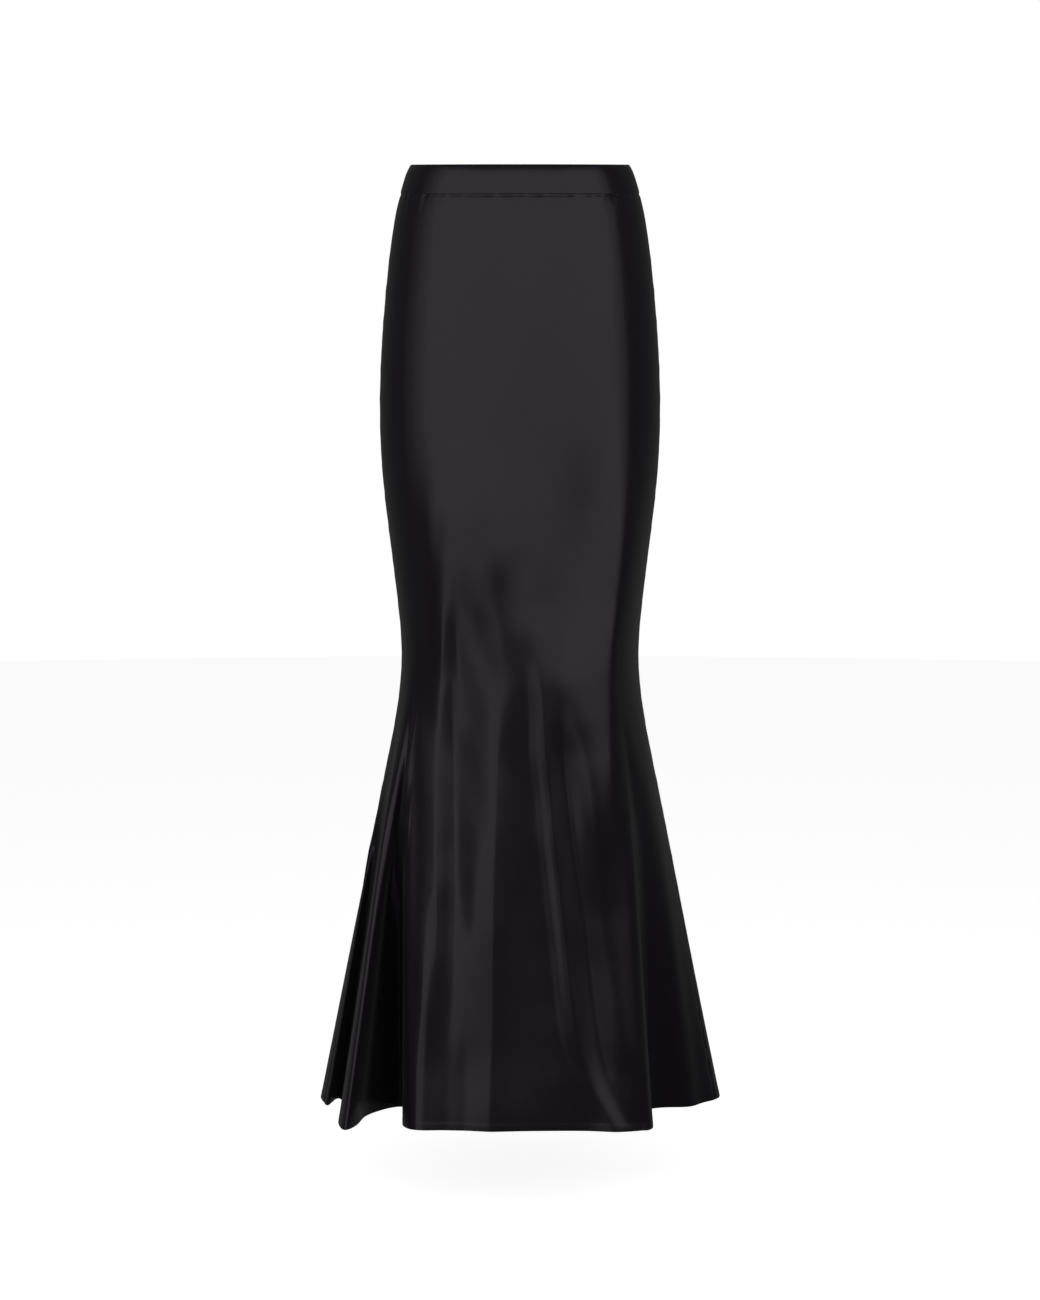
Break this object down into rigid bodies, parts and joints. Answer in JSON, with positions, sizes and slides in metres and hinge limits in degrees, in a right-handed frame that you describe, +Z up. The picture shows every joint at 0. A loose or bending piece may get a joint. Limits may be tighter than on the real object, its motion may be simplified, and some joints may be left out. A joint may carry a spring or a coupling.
{
  "type": "bias-cut maxi skirt",
  "caption": "Long fitted skirt in satin, worn form: plain waistband, smooth hips, narrow knee and a flared hem falling in deep flutes, with a concealed zip at the back.",
  "frame": {"origin": "middle of the waist opening, level with the waistband's top edge, where the wearer's waist holds the skirt", "axes": "+Z up the wearer, -Y to the front, +X to the wearer's left, so the hem is towards -Z"},
  "size_m": [0.4718, 0.412, 1.1004],
  "materials": {
    "satin": "black satin weave cut on the bias, broad soft sheen",
    "satin_band": "the same black satin on the straight grain, folded double and stiffened",
    "zip_tape": "black woven tape, matt",
    "zip_coil": "black nylon coil, slightly glossy",
    "lacquered_metal": "black lacquered zinc alloy, smooth"
  },
  "bodies": {
    "skirt": {"waistband_front": "satin_band", "waistband_back_left": "satin_band", "waistband_back_right": "satin_band", "panel_front": "satin", "panel_back_left": "satin", "panel_back_right": "satin", "zip_tape_left": "zip_tape", "zip_tape_right": "zip_tape", "zip_coil": "zip_coil", "zip_stop": "lacquered_metal", "zip_slider": "lacquered_metal"},
    "pull_tab": {"zip_pull_tab": "lacquered_metal"}
  },
  "joints": [
    {"name": "pull_tab_swing", "type": "hinge", "parent": "skirt", "child": "pull_tab", "pos_m": [0, 0.09194, -0.01167], "axis": [1, 0, 0], "range_deg": [0, 165]}
  ]
}
